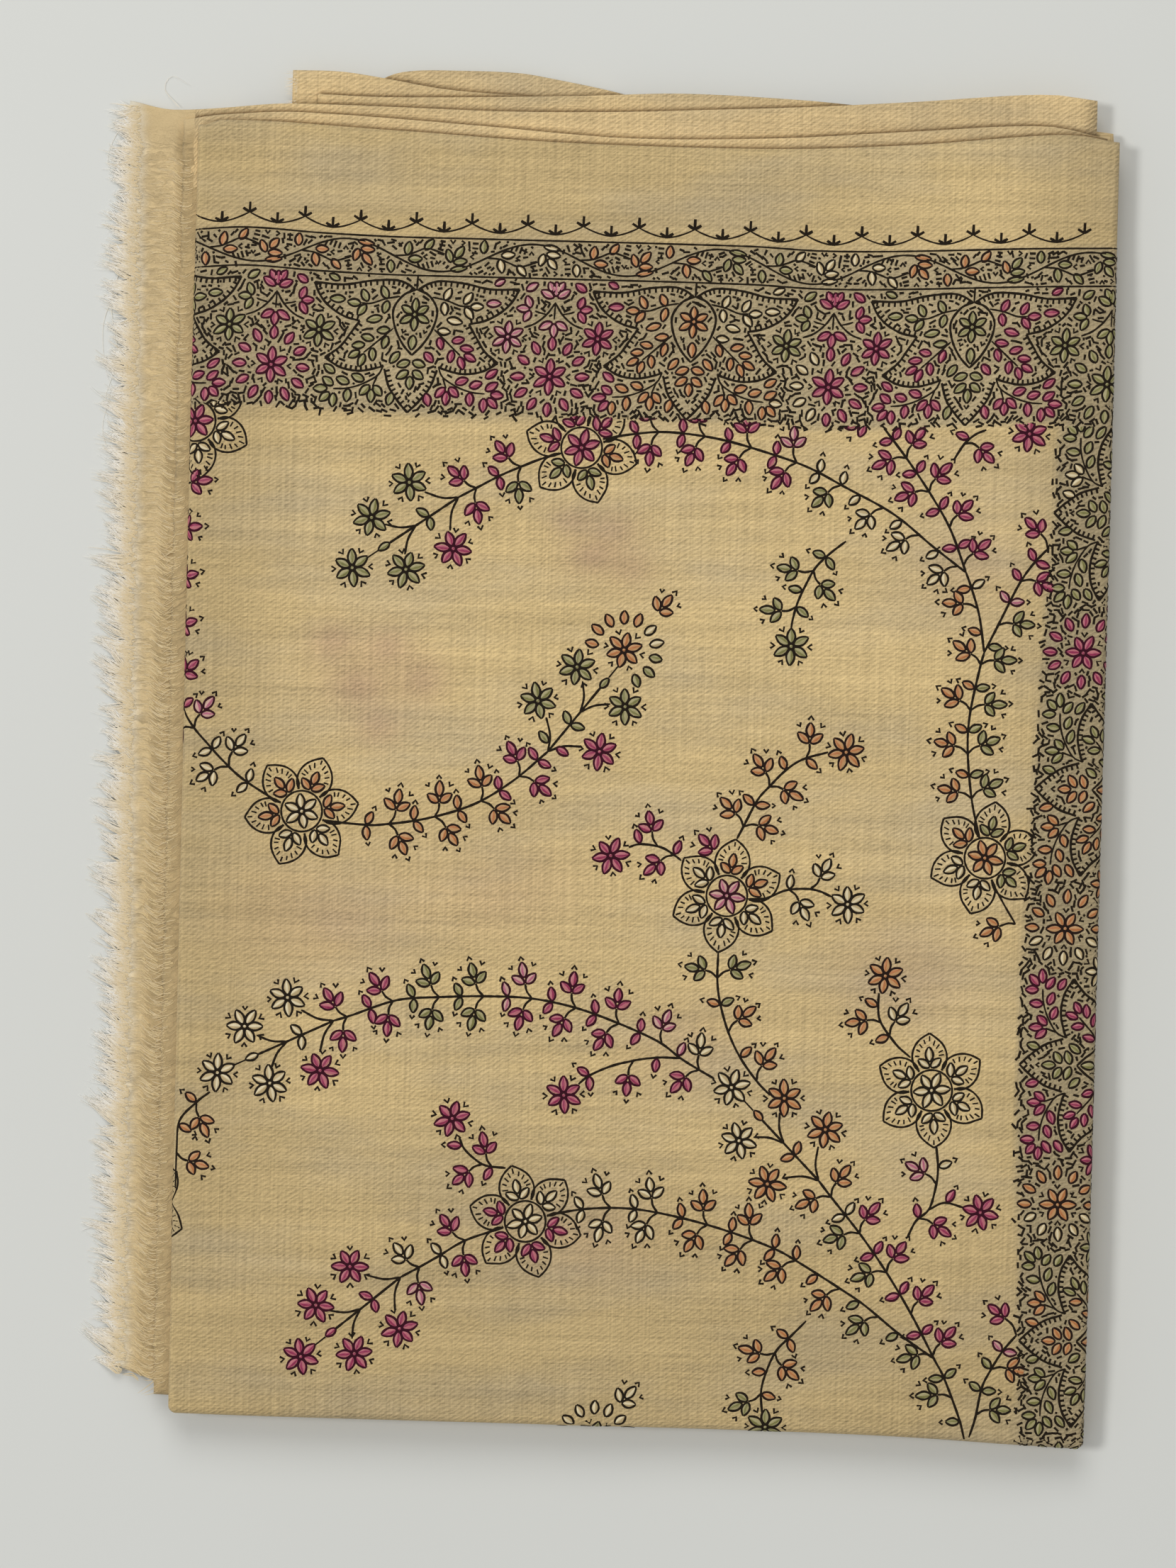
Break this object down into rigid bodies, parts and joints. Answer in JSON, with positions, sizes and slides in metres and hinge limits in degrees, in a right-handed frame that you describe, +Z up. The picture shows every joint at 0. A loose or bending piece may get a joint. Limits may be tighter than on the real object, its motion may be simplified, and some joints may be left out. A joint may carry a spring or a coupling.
{
  "type": "pashmina scarf, folded flat",
  "caption": "Fine wool scarf folded into a flat packet, embroidered with vines and a border, its fringed end out at the left.",
  "frame": {"origin": "middle of the folded scarf's box, on the table it lies on", "axes": "+Z up from the table, +Y from the long fold at the front to the selvedges at the back, +X away from the fringed end"},
  "size_m": [0.2766, 0.3684, 0.0157],
  "materials": {
    "embroidered_cloth": "fine camel-coloured wool twill with a soft sheen",
    "plain_cloth": "fine camel-coloured wool twill with a soft sheen",
    "fringe_yarn": "loose pale wool yarn"
  },
  "bodies": {
    "root": {"top_panel": "embroidered_cloth", "second_end": "plain_cloth", "fringed_end": "plain_cloth", "end_fringe": "fringe_yarn", "second_fringe": "fringe_yarn", "back_layer": "plain_cloth", "back_end": "plain_cloth", "back_end_fringe": "fringe_yarn", "back_fold": "plain_cloth", "folded_core": "plain_cloth"}
  },
  "joints": []
}
